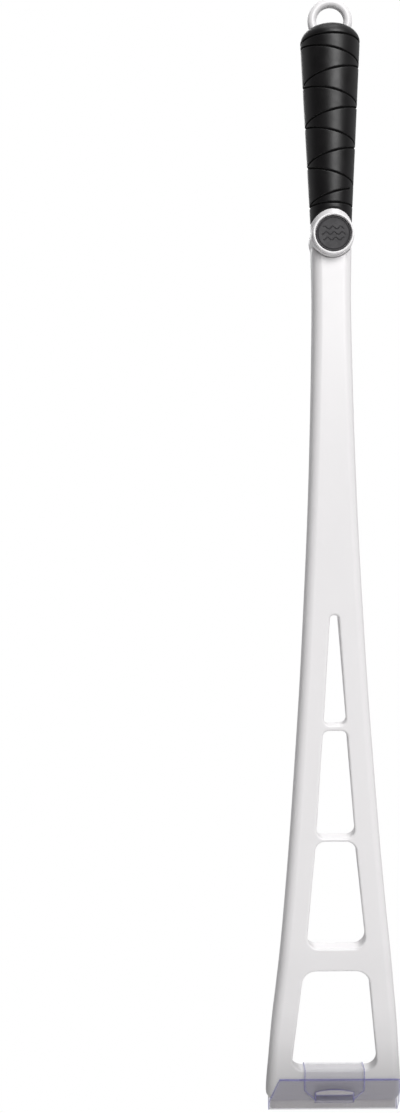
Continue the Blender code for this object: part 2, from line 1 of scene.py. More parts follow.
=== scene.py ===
"""The looks of the algae scraper: fine surfaces, materials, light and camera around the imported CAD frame.

Shapes are worked out in millimetres, with heights measured up from the fold of the blade guard.
dress turns them into metres in the frame's own axes, whose origin is the centre of the hang eye.
"""

import math

import bmesh
import bpy
import numpy as np
from mathutils import Matrix, Vector


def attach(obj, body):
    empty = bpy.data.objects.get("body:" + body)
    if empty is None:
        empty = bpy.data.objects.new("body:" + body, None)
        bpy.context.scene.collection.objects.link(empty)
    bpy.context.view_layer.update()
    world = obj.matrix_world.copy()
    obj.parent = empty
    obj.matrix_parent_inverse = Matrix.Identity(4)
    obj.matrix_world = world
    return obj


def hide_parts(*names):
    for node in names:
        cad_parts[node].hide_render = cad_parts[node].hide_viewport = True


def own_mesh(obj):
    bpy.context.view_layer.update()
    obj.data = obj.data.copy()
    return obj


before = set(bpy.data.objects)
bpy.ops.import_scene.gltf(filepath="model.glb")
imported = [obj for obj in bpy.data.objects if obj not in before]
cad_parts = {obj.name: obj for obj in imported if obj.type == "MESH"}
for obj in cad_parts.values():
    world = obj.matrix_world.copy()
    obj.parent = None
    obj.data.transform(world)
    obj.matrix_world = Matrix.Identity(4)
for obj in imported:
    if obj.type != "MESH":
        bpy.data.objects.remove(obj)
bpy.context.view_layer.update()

MM = 0.001
GAP = 0.3
BEYOND = 40.0  # a tool's reach past whatever it cuts
HEX = 6
FLAT = math.radians(35)

# The tool's own measures, as in the CAD
EYE_HEIGHT = 547.72
LOOP_RADIUS, LOOP_WIRE = 8.9, 2.18
GRIP_FOOT, GRIP_SHOULDER, GRIP_TOP = 440.0, 536.5, 545.0
GRIP_FOOT_RADIUS, GRIP_SHOULDER_RADIUS = 9.9, 14.7
GRIP_BORE, GRIP_BORE_TOP, GRIP_SCOOP = 6.8, 8.8, 12.7
TANG_FOOT, TANG_TOP, TANG_FOOT_RADIUS, TANG_TOP_RADIUS = 449.0, 540.0, 6.5, 8.5
KNUCKLE = 439.5
BARREL_RADIUS, BARREL_HALF, SHAFT_CLEARANCE = 10.5, 8.5, 10.8
NECK_RADIUS, COLLAR_RADIUS = 12.4, 10.2
CAP_RADIUS, CAP_INNER, CAP_PROUD, CAP_FLOOR = 10.0, 8.85, 3.3, 0.8
INLAY_RADIUS, INLAY_THICKNESS = 8.55, 1.1
PLUG_RADIUS, PLUG_PROUD = 8.6, 1.3
SPIGOT_INNER, SPIGOT_OUTER, SPIGOT_LENGTH = 5.6, 6.7, 1.8
COUNTERBORE_RADIUS, FRONT_COUNTERBORE, REAR_COUNTERBORE = 7.0, -4.5, 6.5
SCREW_HOLE = 2.7
NUT_POCKET_RADIUS, NUT_POCKET_FLOOR = 4.9, 2.2
NUT_RADIUS, NUT_FRONT, NUT_BACK = 4.5, 2.5, 6.2
OUTLINE = (
    (7.0, 32.9), (10.5, 34.1), (30.0, 32.8), (50.0, 31.2), (70.0, 29.0),
    (100.0, 25.9), (140.0, 22.35), (180.0, 19.35), (220.0, 16.6), (260.0, 14.35),
    (300.0, 12.35), (340.0, 10.85), (380.0, 9.8), (410.0, 9.35), (436.0, 9.8),
)
HEAD_TOP, SHAFT_DEEP = 262.0, 420.0
SHAFT_HALF_DEPTH, HEAD_HALF_DEPTH = 7.0, 5.0
TOE_FRONT, TOE_BACK, TOE_HEIGHT = 3.6, 4.4, 34.0
EDGE_RADIUS, HEEL_RADIUS = 4.6, 0.8
BEND_TOP, BEND_FOOT = 91.0, 78.0
LEAN_ANGLE = math.radians(10)
FOOT_CHAMFER, CHAMFER_HEIGHT = 1.3, 3.5
SKIN, WALL = 2.6, 2.2
HOLLOW_FOOT, HOLLOW_TOP = 32.0, 424.0
RIBS, RIB = (290.0, 325.0, 360.0, 395.0), 2.0
WINDOWS = (
    (199.1, 253.1, 5.5, 2.0, 3.0, 1.8),
    (143.5, 196.1, 9.5, 5.8, 3.8, 3.0),
    (89.0, 141.5, 14.6, 9.6, 5.5, 5.0),
    (23.8, 77.1, 21.6, 15.9, 5.6, 7.0),
)
WINDOW_FILLET, WINDOW_DRAFT = 1.2, 0.11
SEAT_FACE, SEAT_TOP, SEAT_HALF = 0.9, 20.2, 32.3
BLADE_HALF, BLADE_FOOT, BLADE_TOP, BLADE_GROUND = 31.9, 0.9, 19.6, 3.2
BLADE_FRONT, BLADE_BACK = 1.2, 1.7
CLAMP_HALF, CLAMP_FOOT, CLAMP_TOP = 31.6, 8.0, 19.6
CLAMP_FRONT, CLAMP_BACK = 2.0, 4.4
CLAMP_SCREWS = (("left", -22.0), ("centre", 0.0), ("right", 22.0))
CLAMP_SCREW_HEIGHT = 13.8
BLADE_HOLE, CLAMP_HOLE, COUNTERSINK, COUNTERSINK_START = 1.7, 1.6, 3.6, 2.6
PILOT_RADIUS, PILOT_FLOOR = 1.5, -1.9
DRILL_FRONT, DRILL_BACK = -6.0, 9.0  # a drill's reach through the blade and the bar
SHEET = 0.4
GUARD_HALF, GUARD_FRONT_TOP, GUARD_BACK_TOP = 32.9, 19.3, 21.0
GUARD_FRONT, GUARD_BACK, GUARD_CORNER, GUARD_SLANT_TOP = -4.1, 4.9, 7.4, 5.3
FOLD_RADIUS = 0.8
LIP_HALF, LIP_FOOT = 9.8, 6.2
TONGUE_HALF, TONGUE_END_HALF, TONGUE_END, TONGUE_CHAMFER = 15.1, 9.6, 8.2, 13.5
TONGUE_FRONT, TONGUE_OVER, TONGUE_TURN = -4.8, 24.6, 0.9
HINGE_HEIGHT = 21.15

# Measures of the visual model alone
LIP_CREASE, LIP_TOP, LIP_ARCH, LIP_BOW = 11.6, 14.7, 1.7, 0.4
LIP_SET_BACK, LIP_DROP, LIP_RAMP, LIP_ROWS = 1.3, 0.3, 1.6, (9.6, 13.0)
EDGE_MARGIN = 0.4
CREASE_GAP, FOLDED_OFFSET = 0.5, 1.1
CAP_FLARE = 0.15
BEVEL = 0.5
DISC_EDGE, DISC_CENTRE = 0.3, 0.06
DISC_RING_RADIUS, DISC_RING_HALF, EMBLEM_DEPTH = 7.7, 0.22, 0.28
WAVE_LEVELS, WAVE_CIRCLE, WAVE_FADE = (-2.7, 0.0, 2.7), 6.1, 0.9
WAVE_SWING, WAVE_LENGTH, WAVE_SHIFT, WAVE_HALF = 0.62, 3.9, 0.18, 0.30

# Hidden screws, as (radius, place along the axis)
KNUCKLE_SCREW_PROFILE = ((0, -7.4), (4.6, -7.4), (4.6, -4.8), (2.4, -4.8), (2.4, 6.1), (0, 6.1))
SOCKET_RADIUS, SOCKET_FLOOR = 1.7, -5.6
CLAMP_SCREW_PROFILE = ((0, -1.5), (0.5, -1.5), (1.2, -0.3), (1.2, 2.6), (2.75, 4.15), (0, 4.15))
CROSS_LONG, CROSS_SHORT, CROSS_FLOOR, CROSS_TOP = 1.4, 0.3, 3.2, 6.0

# The grip's foot, its grooves and its dome
FOOT_LIP, FOOT_GUESS = 0.7, 448.0  # the guess is a height near the foot, to find its radius from
SHOULDER_BAND, DOME_START, DOME_GROOVED = 3.0, 0.6, 12.0
LOOP_DENT, DENT_START, DENT_END = 0.45, 0.1, 0.9
RING_GROOVES = (454.9, 535.8)
ZIGZAG_TOP, ZIGZAG_TURNS, ZIGZAG_PITCH = 533.9, 4, 19.75
BLUNT_END = 0.39  # of a turn, where the lowest groove stops
GROOVE_HALF, GROOVE_DEPTH, GROOVE_SHADE = 0.5, 0.45, 0.30
VALLEY_POWER, VALLEY_LIP = 2.4, 0.14


# Form of the shaft


def smooth(start, end, value):
    """Goes gently from 0 at start to 1 at end."""
    t = np.clip((value - start) / (end - start), 0.0, 1.0)
    return t * t * (3 - 2 * t)


def lean(height):
    """How far behind the shaft's own plane the head has bent at this height."""
    if height >= BEND_TOP:
        return 0.0
    slope = math.tan(LEAN_ANGLE)
    if height >= BEND_FOOT:
        return slope * (BEND_TOP - height) ** 2 / (2 * (BEND_TOP - BEND_FOOT))
    return slope * ((BEND_TOP + BEND_FOOT) / 2 - height)


def half_width(height):
    """The outline's half width, by a smooth curve through its points."""
    last = len(OUTLINE) - 1
    i = next((k for k in range(last) if height <= OUTLINE[k + 1][0]), last - 1)
    (z0, w0), (z1, w1) = OUTLINE[i], OUTLINE[i + 1]

    def slope(k):
        low, high = OUTLINE[max(k - 1, 0)], OUTLINE[min(k + 1, last)]
        return (high[1] - low[1]) / (high[0] - low[0])

    span = z1 - z0
    t = min(max((height - z0) / span, 0.0), 1.0)
    start, end = slope(i) * span, slope(i + 1) * span
    return (
        (2 * t**3 - 3 * t**2 + 1) * w0 + (t**3 - 2 * t**2 + t) * start
        + (3 * t**2 - 2 * t**3) * w1 + (t**3 - t**2) * end
    )


def depth(height, toe_depth):
    """How deep the front or back face stands from the middle plane, down to toe_depth at the foot."""
    deep = HEAD_HALF_DEPTH + (SHAFT_HALF_DEPTH - HEAD_HALF_DEPTH) * smooth(HEAD_TOP, SHAFT_DEEP, height)
    return deep - (HEAD_HALF_DEPTH - toe_depth) * (1 - smooth(TOE_HEIGHT, BEND_TOP, height))


def front_depth(height):
    return depth(height, TOE_FRONT) - FOOT_CHAMFER * max(0.0, 1 - (height - OUTLINE[0][0]) / CHAMFER_HEIGHT)


def corner(centre_x, centre_y, radius, start, end, steps):
    """Points along an arc, angles in degrees."""
    angles = [math.radians(start + (end - start) * k / steps) for k in range(steps + 1)]
    return [(centre_x + radius * math.cos(a), centre_y + radius * math.sin(a)) for a in angles]


def section(height, inset, front, back, radius):
    """One cross section of the shaft, from its right back corner forwards and round to the left."""
    half = half_width(height) - inset
    radius = min(radius, half * 0.6, (front + back) * 0.7)
    heel = HEEL_RADIUS
    points = corner(half - heel, back - heel, heel, 90, 0, 4)
    points += corner(half - radius, radius - front, radius, 0, -90, 14)
    points += corner(radius - half, radius - front, radius, -90, -180, 14)
    points += corner(heel - half, back - heel, heel, 180, 90, 4)
    return [Vector((x, y + lean(height), height)) for x, y in points]


def rows_between(low, high, step):
    """Evenly spaced heights, with the bend and the foot closer together."""
    marks = {low, high, *(z for z, _ in OUTLINE[:2] if low < z < high)}
    marks.update(z for z in (BEND_FOOT, BEND_TOP) if low < z < high)
    rows = sorted(marks)
    full = [rows[0]]
    for row in rows[1:]:
        fine = 0.8 if row <= OUTLINE[1][0] or BEND_FOOT < row <= BEND_TOP else step
        start = full[-1]
        parts = math.ceil((row - start) / fine)
        full += [start + (row - start) * k / parts for k in range(1, parts + 1)]
    return full


# Meshes


def skin(rings):
    """A closed body stretched over rings of points, each with the same number of points."""
    bm = bmesh.new()
    rows = [[bm.verts.new(point) for point in ring] for ring in rings]
    count = len(rows[0])
    for low, high in zip(rows, rows[1:]):
        for k in range(count):
            bm.faces.new((low[k], low[(k + 1) % count], high[(k + 1) % count], high[k]))
    bm.faces.new(rows[0])
    bm.faces.new(rows[-1])
    return bm


def turned(profile, axis="Y", sides=128):
    """A turned piece. The profile is (radius, place along the axis), closed on the axis or on itself."""
    bm = bmesh.new()
    along = Vector((0, 1, 0)) if axis == "Y" else Vector((0, 0, 1))
    out = Vector((1, 0, 0))
    verts = [bm.verts.new(out * radius + along * place) for radius, place in profile]
    pairs = zip(range(len(profile)), [*range(1, len(profile)), 0])
    edges = [bm.edges.new((verts[a], verts[b])) for a, b in pairs if profile[a][0] or profile[b][0]]
    bmesh.ops.spin(
        bm, geom=verts + edges, cent=(0, 0, 0), axis=along, angle=2 * math.pi, steps=sides, use_merge=True
    )
    bmesh.ops.remove_doubles(bm, verts=bm.verts, dist=1e-4)
    bmesh.ops.dissolve_degenerate(bm, edges=bm.edges, dist=1e-5)
    return bm


def eased(profile, radius, steps=4):
    """The profile with each corner rounded, its ends on the axis left alone."""
    points = [Vector(p) for p in profile]
    rounded = [tuple(points[0])]
    for before, here, after in zip(points, points[1:], points[2:]):
        back, ahead = before - here, after - here
        angle = back.angle(ahead, math.pi)
        if angle > math.radians(172):
            rounded.append(tuple(here))
            continue
        cut = min(radius / math.tan(angle / 2), back.length * 0.45, ahead.length * 0.45)
        start, end = here + back.normalized() * cut, here + ahead.normalized() * cut
        for k in range(steps + 1):
            t = k / steps
            rounded.append(tuple(start * (1 - t) ** 2 + here * 2 * t * (1 - t) + end * t * t))
    rounded.append(tuple(points[-1]))
    return rounded


def rod(radius, start, end, sides=128):
    return turned([(0, start), (radius, start), (radius, end), (0, end)], "Y", sides)


def at_knuckle(bm):
    bmesh.ops.translate(bm, vec=(0, 0, KNUCKLE), verts=bm.verts)
    return bm


def on_head(bm, x):
    """Turns a tool along the blade's own normal and puts it at a clamp screw."""
    place = Matrix.Translation((x, lean(CLAMP_SCREW_HEIGHT), CLAMP_SCREW_HEIGHT))
    bmesh.ops.transform(bm, matrix=place @ Matrix.Rotation(LEAN_ANGLE, 4, "X"), verts=bm.verts)
    return bm


def leaned_box(low, high):
    """An upright block between two corners, leaning with the head."""
    outline = ((low[1], low[2]), (high[1], low[2]), (high[1], high[2]), (low[1], high[2]))
    return skin([[Vector((x, y + lean(z), z)) for y, z in outline] for x in (low[0], high[0])])


def raw_object(bm):
    bmesh.ops.recalc_face_normals(bm, faces=bm.faces)
    mesh = bpy.data.meshes.new("tool")
    bm.to_mesh(mesh)
    bm.free()
    obj = bpy.data.objects.new("tool", mesh)
    bpy.context.scene.collection.objects.link(obj)
    return obj


def combine(target, tools, operation="DIFFERENCE"):
    """Cuts each tool from the target, or joins it on, and removes the tool."""
    for bm in tools:
        tool = raw_object(bm) if isinstance(bm, bmesh.types.BMesh) else bm
        bpy.context.view_layer.update()
        modifier = target.modifiers.new("Combine", "BOOLEAN")
        modifier.operation = operation
        modifier.solver = "MANIFOLD"
        modifier.object = tool
        result = bpy.data.meshes.new_from_object(target.evaluated_get(bpy.context.evaluated_depsgraph_get()))
        target.modifiers.remove(modifier)
        target.data = result
        bpy.data.objects.remove(tool)
    return target


def dress(obj, name, material, slot, body, *nodes, weighted=True):
    """Names and scales a finished piece, and ties it to its body and the CAD nodes it stands for."""
    obj.name = name
    obj.data.transform(Matrix.Scale(MM, 4) @ Matrix.Translation((0, 0, -EYE_HEIGHT)))
    obj.data.shade_smooth()
    obj.data.set_sharp_from_angle(angle=FLAT)
    if not obj.data.materials:
        obj.data.materials.append(material)
    else:
        obj.data.materials[0] = material
    if weighted:
        modifier = obj.modifiers.new("Even shading", "WEIGHTED_NORMAL")
        modifier.keep_sharp = True
        modifier.weight = 60
    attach(obj, body)
    if nodes:
        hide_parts(*nodes)
    return obj


# Materials

HAZE = 0.06
# Painted shade: the white plastic's colour is darkened towards the foot, by height.
SHADE_HEIGHTS = (10.0, 150.0)
SHADE_STOPS = ((14.0, 0.62), (23.0, 0.68), (40.0, 0.88), (58.0, 0.98), (140.0, 1.0))


class Nodes:
    """A few shorthands for building a material's node tree."""

    def __init__(self, name):
        self.material = bpy.data.materials.new(name)
        self.material.use_nodes = True
        self.tree = self.material.node_tree
        self.shader = self.tree.nodes["Principled BSDF"]
        self.where = self.tree.nodes.new("ShaderNodeTexCoord").outputs["Object"]

    def link(self, source, socket):
        self.tree.links.new(source, socket)

    def noise(self, scale, detail=2.0, roughness=0.5, stretch=(1, 1, 1)):
        mapping = self.tree.nodes.new("ShaderNodeMapping")
        mapping.inputs["Scale"].default_value = stretch
        self.link(self.where, mapping.inputs["Vector"])
        node = self.tree.nodes.new("ShaderNodeTexNoise")
        node.inputs["Scale"].default_value = scale
        node.inputs["Detail"].default_value = detail
        node.inputs["Roughness"].default_value = roughness
        self.link(mapping.outputs["Vector"], node.inputs["Vector"])
        return node.outputs["Fac"]

    def ramp(self, value, stops):
        """Stops are (place, colour or number)."""
        node = self.tree.nodes.new("ShaderNodeValToRGB")
        ramp = node.color_ramp
        while len(ramp.elements) < len(stops):
            ramp.elements.new(0.5)
        for element, (place, colour) in zip(ramp.elements, stops):
            element.position = place
            element.color = (*colour, 1.0) if isinstance(colour, tuple) else (colour, colour, colour, 1.0)
        self.link(value, node.inputs["Fac"])
        return node.outputs["Color"]

    def mix(self, factor, first, second, mode="MIX"):
        node = self.tree.nodes.new("ShaderNodeMix")
        node.data_type, node.blend_type = "RGBA", mode
        sockets = [s for s in node.inputs if s.enabled]
        for socket, value in zip(sockets, (factor, first, second)):
            if isinstance(value, (int, float)):
                socket.default_value = value
            elif isinstance(value, tuple):
                socket.default_value = (*value, 1.0)
            else:
                self.link(value, socket)
        return next(s for s in node.outputs if s.enabled)

    def maths(self, operation, *values):
        node = self.tree.nodes.new("ShaderNodeMath")
        node.operation = operation
        for socket, value in zip(node.inputs, values):
            if isinstance(value, (int, float)):
                socket.default_value = value
            else:
                self.link(value, socket)
        return node.outputs[0]

    def bump(self, height, distance, strength=1.0, after=None):
        node = self.tree.nodes.new("ShaderNodeBump")
        node.inputs["Distance"].default_value = distance
        node.inputs["Strength"].default_value = strength
        self.link(height, node.inputs["Height"])
        if after is not None:
            self.link(after, node.inputs["Normal"])
        return node.outputs["Normal"]

    def to(self, **sockets):
        for name, value in sockets.items():
            socket = self.shader.inputs[name.replace("_", " ")]
            if isinstance(value, (int, float)):
                socket.default_value = value
            elif isinstance(value, tuple):
                socket.default_value = (*value, 1.0)
            else:
                self.link(value, socket)


def white_plastic():
    """Satin plastic with a fine texture and faint flow marks. Its foot is darkened by painted shade, to
    match the photo.
    """
    n = Nodes("white_plastic")
    flow = n.noise(9.0, 3.0, 0.55, stretch=(1.6, 1.6, 0.5))
    colour = n.ramp(flow, ((0.3, (0.82, 0.805, 0.812)), (0.7, (0.85, 0.835, 0.842))))
    low, high = SHADE_HEIGHTS
    split = n.tree.nodes.new("ShaderNodeSeparateXYZ")
    n.link(n.where, split.inputs["Vector"])
    span = high - low
    rise = n.maths("MULTIPLY_ADD", split.outputs["Z"], 1 / MM / span, (EYE_HEIGHT - low) / span)
    shade = n.ramp(rise, [((height - low) / span, level) for height, level in SHADE_STOPS])
    grain = n.noise(2600.0, 2.0, 0.6)
    n.to(
        Base_Color=n.mix(1.0, colour, shade, "MULTIPLY"),
        Roughness=n.ramp(n.noise(140.0, 3.0), ((0.3, 0.30), (0.7, 0.37))),
        Normal=n.bump(grain, 0.00002, 0.35, n.bump(n.noise(38.0, 2.0), 0.0002, 0.10)),
        IOR=1.53,
    )
    return n.material


def black_rubber():
    """Soft black rubber with a satin skin, slightly duller and greyer in patches."""
    n = Nodes("black_rubber")
    worn = n.noise(55.0, 4.0, 0.6)
    pores = n.noise(3400.0, 2.0, 0.6)
    n.to(
        Base_Color=n.ramp(worn, ((0.3, (0.0040, 0.0036, 0.0040)), (0.75, (0.0070, 0.0062, 0.0068)))),
        Roughness=n.ramp(n.noise(210.0, 4.0), ((0.3, 0.37), (0.7, 0.47))),
        Normal=n.bump(pores, 0.00003, 0.5, n.bump(n.noise(120.0, 3.0), 0.0002, 0.12)),
        IOR=1.45,
    )
    return n.material


def groove_painted_shade_rubber():
    """The grip's grooves: painted shade, darker than its skin, and duller."""
    n = Nodes("black_rubber_groove_painted_shade")
    dark, pale = (0.0010, 0.0009, 0.0010), (0.0022, 0.0020, 0.0022)
    n.to(
        Base_Color=n.ramp(n.noise(400.0, 3.0), ((0.3, dark), (0.7, pale))),
        Roughness=n.ramp(n.noise(900.0, 2.0), ((0.3, 0.75), (0.7, 0.9))),
        Normal=n.bump(n.noise(3000.0, 2.0), 0.00003, 0.5),
        Specular_IOR_Level=0.12,
    )
    return n.material


def charcoal_rubber():
    """The inlay's grained charcoal face."""
    n = Nodes("charcoal_rubber")
    grain = n.noise(1500.0, 3.0, 0.7)
    n.to(
        Base_Color=n.ramp(grain, ((0.3, (0.022, 0.021, 0.023)), (0.7, (0.038, 0.036, 0.040)))),
        Roughness=n.ramp(n.noise(300.0, 3.0), ((0.3, 0.56), (0.7, 0.68))),
        Normal=n.bump(grain, 0.00006, 0.6),
    )
    return n.material


def stainless_steel():
    """Steel brushed along the blade's length. It is only partly metallic, to be as pale as in the photo."""
    n = Nodes("stainless_steel")
    lines = n.noise(900.0, 4.0, 0.7, stretch=(0.02, 1, 1))
    stains = n.noise(60.0, 3.0)
    n.to(
        Base_Color=n.mix(0.35, n.ramp(lines, ((0.3, (0.62, 0.595, 0.58)), (0.7, (0.74, 0.715, 0.69)))),
                         n.ramp(stains, ((0.35, (0.62, 0.60, 0.58)), (0.65, (0.72, 0.70, 0.67))))),
        Roughness=n.ramp(lines, ((0.3, 0.32), (0.7, 0.46))),
        Normal=n.bump(lines, 0.00002, 0.4),
        Metallic=0.55,
    )
    return n.material


def clear_sheet(name, colour, alpha, roughness):
    """One tint of the clear sheet. It is seen through by its alpha, and doesn't bend light."""
    n = Nodes(name)
    haze = n.noise(70.0, 4.0, 0.6, stretch=(0.6, 1, 1.8))
    low, high = (tuple(c * share for c in colour) for share in (0.92, 1.08))
    n.to(
        Base_Color=n.ramp(haze, ((0.3, low), (0.7, high))),
        Roughness=n.ramp(n.noise(160.0, 3.0), ((0.3, roughness), (0.7, roughness + 0.07))),
        Alpha=n.maths("MULTIPLY_ADD", haze, HAZE, alpha - HAZE / 2),
        Normal=n.bump(n.noise(26.0, 2.0), 0.0004, 0.25),
        IOR=1.54,
    )
    return n.material


# Handle


def grip_radius(height):
    """The grip's taper, with its domed end."""
    rise = np.clip((height - GRIP_SHOULDER) / (GRIP_TOP - GRIP_SHOULDER), 0.0, 1.0)
    share = (np.minimum(height, GRIP_SHOULDER) - GRIP_FOOT) / (GRIP_SHOULDER - GRIP_FOOT)
    taper = GRIP_FOOT_RADIUS + (GRIP_SHOULDER_RADIUS - GRIP_FOOT_RADIUS) * share
    return taper * np.sqrt(np.maximum(0.0, 1 - rise * rise))


def groove_shape(distance):
    """How deep the grip is cut at this distance from a groove's middle: a round valley with eased lips."""
    t = np.clip(np.abs(distance) / GROOVE_HALF, 0.0, 2.0)
    valley = np.where(t < 1, 1 - t**VALLEY_POWER * (1 - VALLEY_LIP), VALLEY_LIP * np.clip(2 - t, 0, 1) ** 2)
    return GROOVE_DEPTH * valley


def grip_cut(turn, height, radius):
    """Depth of all grooves at a point; turn runs from 0 on the left through a quarter at the front."""
    rise = ZIGZAG_PITCH / (2 * math.pi * radius)
    slant = np.sqrt(1 + rise * rise)
    cut = np.zeros_like(height)
    for ring in RING_GROOVES:
        cut = np.maximum(cut, groove_shape(height - ring))
    for hand in (1, -1):
        share = turn if hand == 1 else 1 - turn
        for k in range(ZIGZAG_TURNS):
            line = ZIGZAG_TOP - ZIGZAG_PITCH * (k + share)
            depth_here = groove_shape((height - line) / slant)
            if hand == -1 and k == ZIGZAG_TURNS - 1:
                depth_here = depth_here * np.where(turn < BLUNT_END, 1.0, np.where(turn < 0.5, 0.0, 1.0))
            cut = np.maximum(cut, depth_here)
    return cut


def scoop_height(x):
    """The grip's foot is cut by a cylinder round the knuckle."""
    return KNUCKLE + np.sqrt(GRIP_SCOOP**2 - x * x)


def grip():
    """The rubber grip as one fine grid: bore, foot, grooved outside, shoulder and dome."""
    around = 540
    along = 560
    turns = np.arange(around) / around
    angle = math.pi + 2 * math.pi * turns  # left, then front, right and back
    cos_a, sin_a = np.cos(angle), np.sin(angle)
    rings, cuts = [], []

    def add(radius, height, cut=None):
        radius = radius * np.ones(around)
        rings.append((radius * cos_a, radius * sin_a, height * np.ones(around)))
        cuts.append(cut)

    add(GRIP_BORE_TOP, TANG_TOP + GAP)
    outer_foot = grip_radius(np.array(FOOT_GUESS))
    for t in np.linspace(0, 1, 6):
        radius = GRIP_BORE + (outer_foot - FOOT_LIP - GRIP_BORE) * t
        add(radius, scoop_height(radius * cos_a))
    foot_radius = grip_radius(scoop_height(outer_foot * cos_a))
    foot_height = scoop_height(foot_radius * cos_a)
    for a in np.linspace(0, math.pi / 2, 8)[1:]:
        add(foot_radius - FOOT_LIP * (1 - math.sin(a)), foot_height + FOOT_LIP * (1 - math.cos(a)))
    start = rings[-1][2]
    end = GRIP_SHOULDER - SHOULDER_BAND
    heights = [start + (end - start) * t for t in np.linspace(0, 1, along)[1:]]
    band = GRIP_SHOULDER + DOME_START - end
    heights += [end + band * t * np.ones(around) for t in np.linspace(0, 1, 40)[1:]]
    for height in heights:
        radius = grip_radius(height)
        cut = grip_cut(turns, height, radius)
        add(radius - cut, height, cut)
    start_angle = math.asin(DOME_START / (GRIP_TOP - GRIP_SHOULDER))
    for a in np.linspace(start_angle, math.pi / 2, 60)[1:-1]:
        height = np.full(around, GRIP_SHOULDER + (GRIP_TOP - GRIP_SHOULDER) * math.sin(a))
        radius = GRIP_SHOULDER_RADIUS * math.cos(a)
        from_ring = np.hypot(np.hypot(radius * cos_a, height - EYE_HEIGHT) - LOOP_RADIUS, radius * sin_a)
        sunk = LOOP_DENT * (1 - smooth(LOOP_WIRE + DENT_START, LOOP_WIRE + DENT_END, from_ring))
        grooved = radius > DOME_GROOVED
        cut = grip_cut(turns, height, np.full(around, radius)) if grooved else np.zeros(around)
        add(radius - cut, height - sunk, cut)

    count = len(rings)
    xyz = np.stack([np.stack(ring, 1) for ring in rings]).reshape(-1, 3)
    verts = np.concatenate([xyz, [[0.0, 0.0, GRIP_TOP], [0.0, 0.0, TANG_TOP + GAP]]])
    i = np.arange(count - 1)[:, None] * around
    j = np.arange(around)[None, :]
    j2 = (j + 1) % around
    quads = np.stack([i + j, i + j2, i + around + j2, i + around + j], -1).reshape(-1, 4)
    mesh = bpy.data.meshes.new("grip")
    last = (count - 1) * around
    fan = [(last + k, last + (k + 1) % around, count * around) for k in range(around)]
    fan += [((k + 1) % around, k, count * around + 1) for k in range(around)]
    mesh.from_pydata(verts.tolist(), [], quads.tolist() + fan)
    full = np.array([[0.0] * around if c is None else np.broadcast_to(c, around) for c in cuts])
    around_mean = (full + np.roll(full, -1, 1)) / 2
    # Faces deep in a groove take the second material, whose darker colour is painted shade.
    deep = (around_mean[:-1] + around_mean[1:]) / 2 > GROOVE_DEPTH * GROOVE_SHADE
    flags = np.concatenate([deep.ravel(), np.zeros(len(fan), bool)]).astype(np.int32)
    mesh.polygons.foreach_set("material_index", flags)
    obj = bpy.data.objects.new("grip", mesh)
    bpy.context.scene.collection.objects.link(obj)
    return obj


def loop_ring(wire, around=160, about=40):
    circle = [(LOOP_RADIUS + x, y) for x, y in corner(0, 0, wire, 0, 360 * (about - 1) / about, about - 1)]
    bm = turned(circle, "Y", around)
    bmesh.ops.translate(bm, vec=(0, 0, EYE_HEIGHT), verts=bm.verts)
    return bm


def barrel():
    front, back = -BARREL_HALF, BARREL_HALF
    profile = [(0, front), (BARREL_RADIUS, front), (BARREL_RADIUS, back), (0, back)]
    return at_knuckle(turned(eased(profile, radius=0.9, steps=5), "Y", 160))


def handle_moulding():
    """The hang loop, the tang in the grip, and the front lug of the knuckle."""
    tang = [(0, TANG_FOOT), (TANG_FOOT_RADIUS, TANG_FOOT), (TANG_TOP_RADIUS, TANG_TOP), (0, TANG_TOP)]
    core = raw_object(turned(eased(tang, radius=0.8), "Z", 96))
    top = KNUCKLE + BEYOND
    stub = [(0, KNUCKLE), (COLLAR_RADIUS, KNUCKLE), (COLLAR_RADIUS, top), (0, top)]
    collar = raw_object(turned(stub, "Z", 160))
    combine(collar, [at_knuckle(rod(NECK_RADIUS, -BEYOND, BEYOND, 160))], "INTERSECT")
    combine(core, [collar, barrel(), loop_ring(LOOP_WIRE)], "UNION")
    return combine(core, [
        at_knuckle(rod(SHAFT_CLEARANCE, -GAP / 2, BEYOND, 160)),
        at_knuckle(rod(BARREL_RADIUS, -BEYOND, -BARREL_HALF, 160)),
        at_knuckle(rod(COUNTERBORE_RADIUS, -BEYOND, FRONT_COUNTERBORE)),
        at_knuckle(rod(SCREW_HOLE, -BEYOND, BEYOND)),
    ])


# Shaft


def offset(corners, distance):
    """Moves each side of a convex outline outwards."""
    count = len(corners)
    points = [Vector(c) for c in corners]
    moved = []
    for k in range(count):
        before, here, after = points[k - 1], points[k], points[(k + 1) % count]
        u, v = (here - before).normalized(), (after - here).normalized()
        out_u, out_v = Vector((u.y, -u.x)), Vector((v.y, -v.x))
        moved.append(here + (out_u + out_v) * distance / (1 + out_u.dot(out_v)))
    return moved


def window_outline(window, grow, steps=14, straight=10):
    """The rounded four-sided outline of a window, in x and height, grown on every side."""
    foot, top, foot_half, top_half, foot_radius, top_radius = window
    corners = offset(((-foot_half, foot), (foot_half, foot), (top_half, top), (-top_half, top)), grow)
    radii = (foot_radius, foot_radius, top_radius, top_radius)
    points = []
    for k, (here, radius) in enumerate(zip(corners, radii)):
        radius += grow
        back, ahead = (corners[k - 1] - here).normalized(), (corners[(k + 1) % 4] - here).normalized()
        half = back.angle(ahead) / 2
        centre = here + (back + ahead).normalized() * radius / math.sin(half)
        start = here + back * radius / math.tan(half) - centre
        end = here + ahead * radius / math.tan(half) - centre
        sweep = start.angle_signed(end)
        arc = []
        for step in range(steps + 1):
            angle = math.atan2(start.y, start.x) - sweep * step / steps
            arc.append(centre + Vector((math.cos(angle), math.sin(angle))) * radius)
        if points:
            previous = points[-1]
            points += [previous.lerp(arc[0], t / straight) for t in range(1, straight)]
        points += arc
    previous = points[-1]
    points += [previous.lerp(points[0], t / straight) for t in range(1, straight)]
    return points


